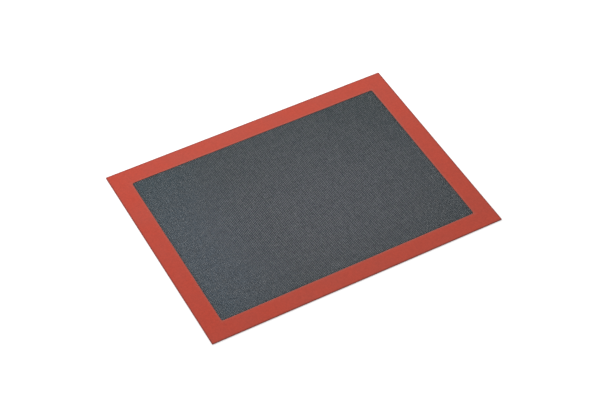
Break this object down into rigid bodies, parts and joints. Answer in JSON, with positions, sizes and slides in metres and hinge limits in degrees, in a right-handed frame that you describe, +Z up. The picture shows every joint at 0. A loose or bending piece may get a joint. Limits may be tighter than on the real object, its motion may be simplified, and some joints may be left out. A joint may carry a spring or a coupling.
{
  "type": "silicone baking mat",
  "caption": "Flat rectangular baking mat: an open black silicone-coated glass-fibre mesh with a smooth red silicone band round its margin.",
  "frame": {"origin": "middle of the mat's under face, at the bottom centre of its box", "axes": "+X along the long side, +Y along the short side, +Z up out of the working face"},
  "size_m": [0.4, 0.3, 0.001],
  "materials": {
    "black_silicone": "satin, finely woven grain",
    "red_silicone": "smooth satin",
    "glass_yarn": "glass fibre yarn, sealed in silicone"
  },
  "bodies": {
    "root": {"silicone_mesh": "black_silicone", "upper_band": "red_silicone", "lower_band": "red_silicone", "lengthwise_yarns": "glass_yarn", "crosswise_yarns": "glass_yarn"}
  },
  "joints": []
}
